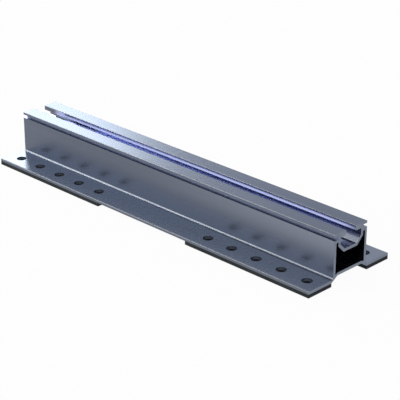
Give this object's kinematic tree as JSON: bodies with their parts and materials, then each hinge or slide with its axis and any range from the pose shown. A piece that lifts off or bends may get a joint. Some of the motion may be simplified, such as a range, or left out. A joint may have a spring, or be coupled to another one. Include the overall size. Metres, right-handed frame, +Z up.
{
  "type": "solar mounting rail",
  "caption": "Short extruded aluminium rail with a slotted nut channel over a hollow box, screw flanges on both sides and rubber strips beneath, for fixing solar panels to sheet roofs.",
  "frame": {"origin": "centre of the length and of the width, on the underside of the rubber strips, where the rail rests on the roof sheet", "axes": "+X along the rail, +Y across it to the back flange, +Z up, away from the roof"},
  "size_m": [0.35, 0.09, 0.0406],
  "materials": {
    "aluminium": "mill-finish extruded aluminium, semi-gloss, bluish grey",
    "epdm": "matt black EPDM foam rubber"
  },
  "bodies": {
    "root": {"rail": "aluminium", "pad_front_left": "epdm", "pad_front_right": "epdm", "pad_back_left": "epdm", "pad_back_right": "epdm"}
  },
  "joints": []
}
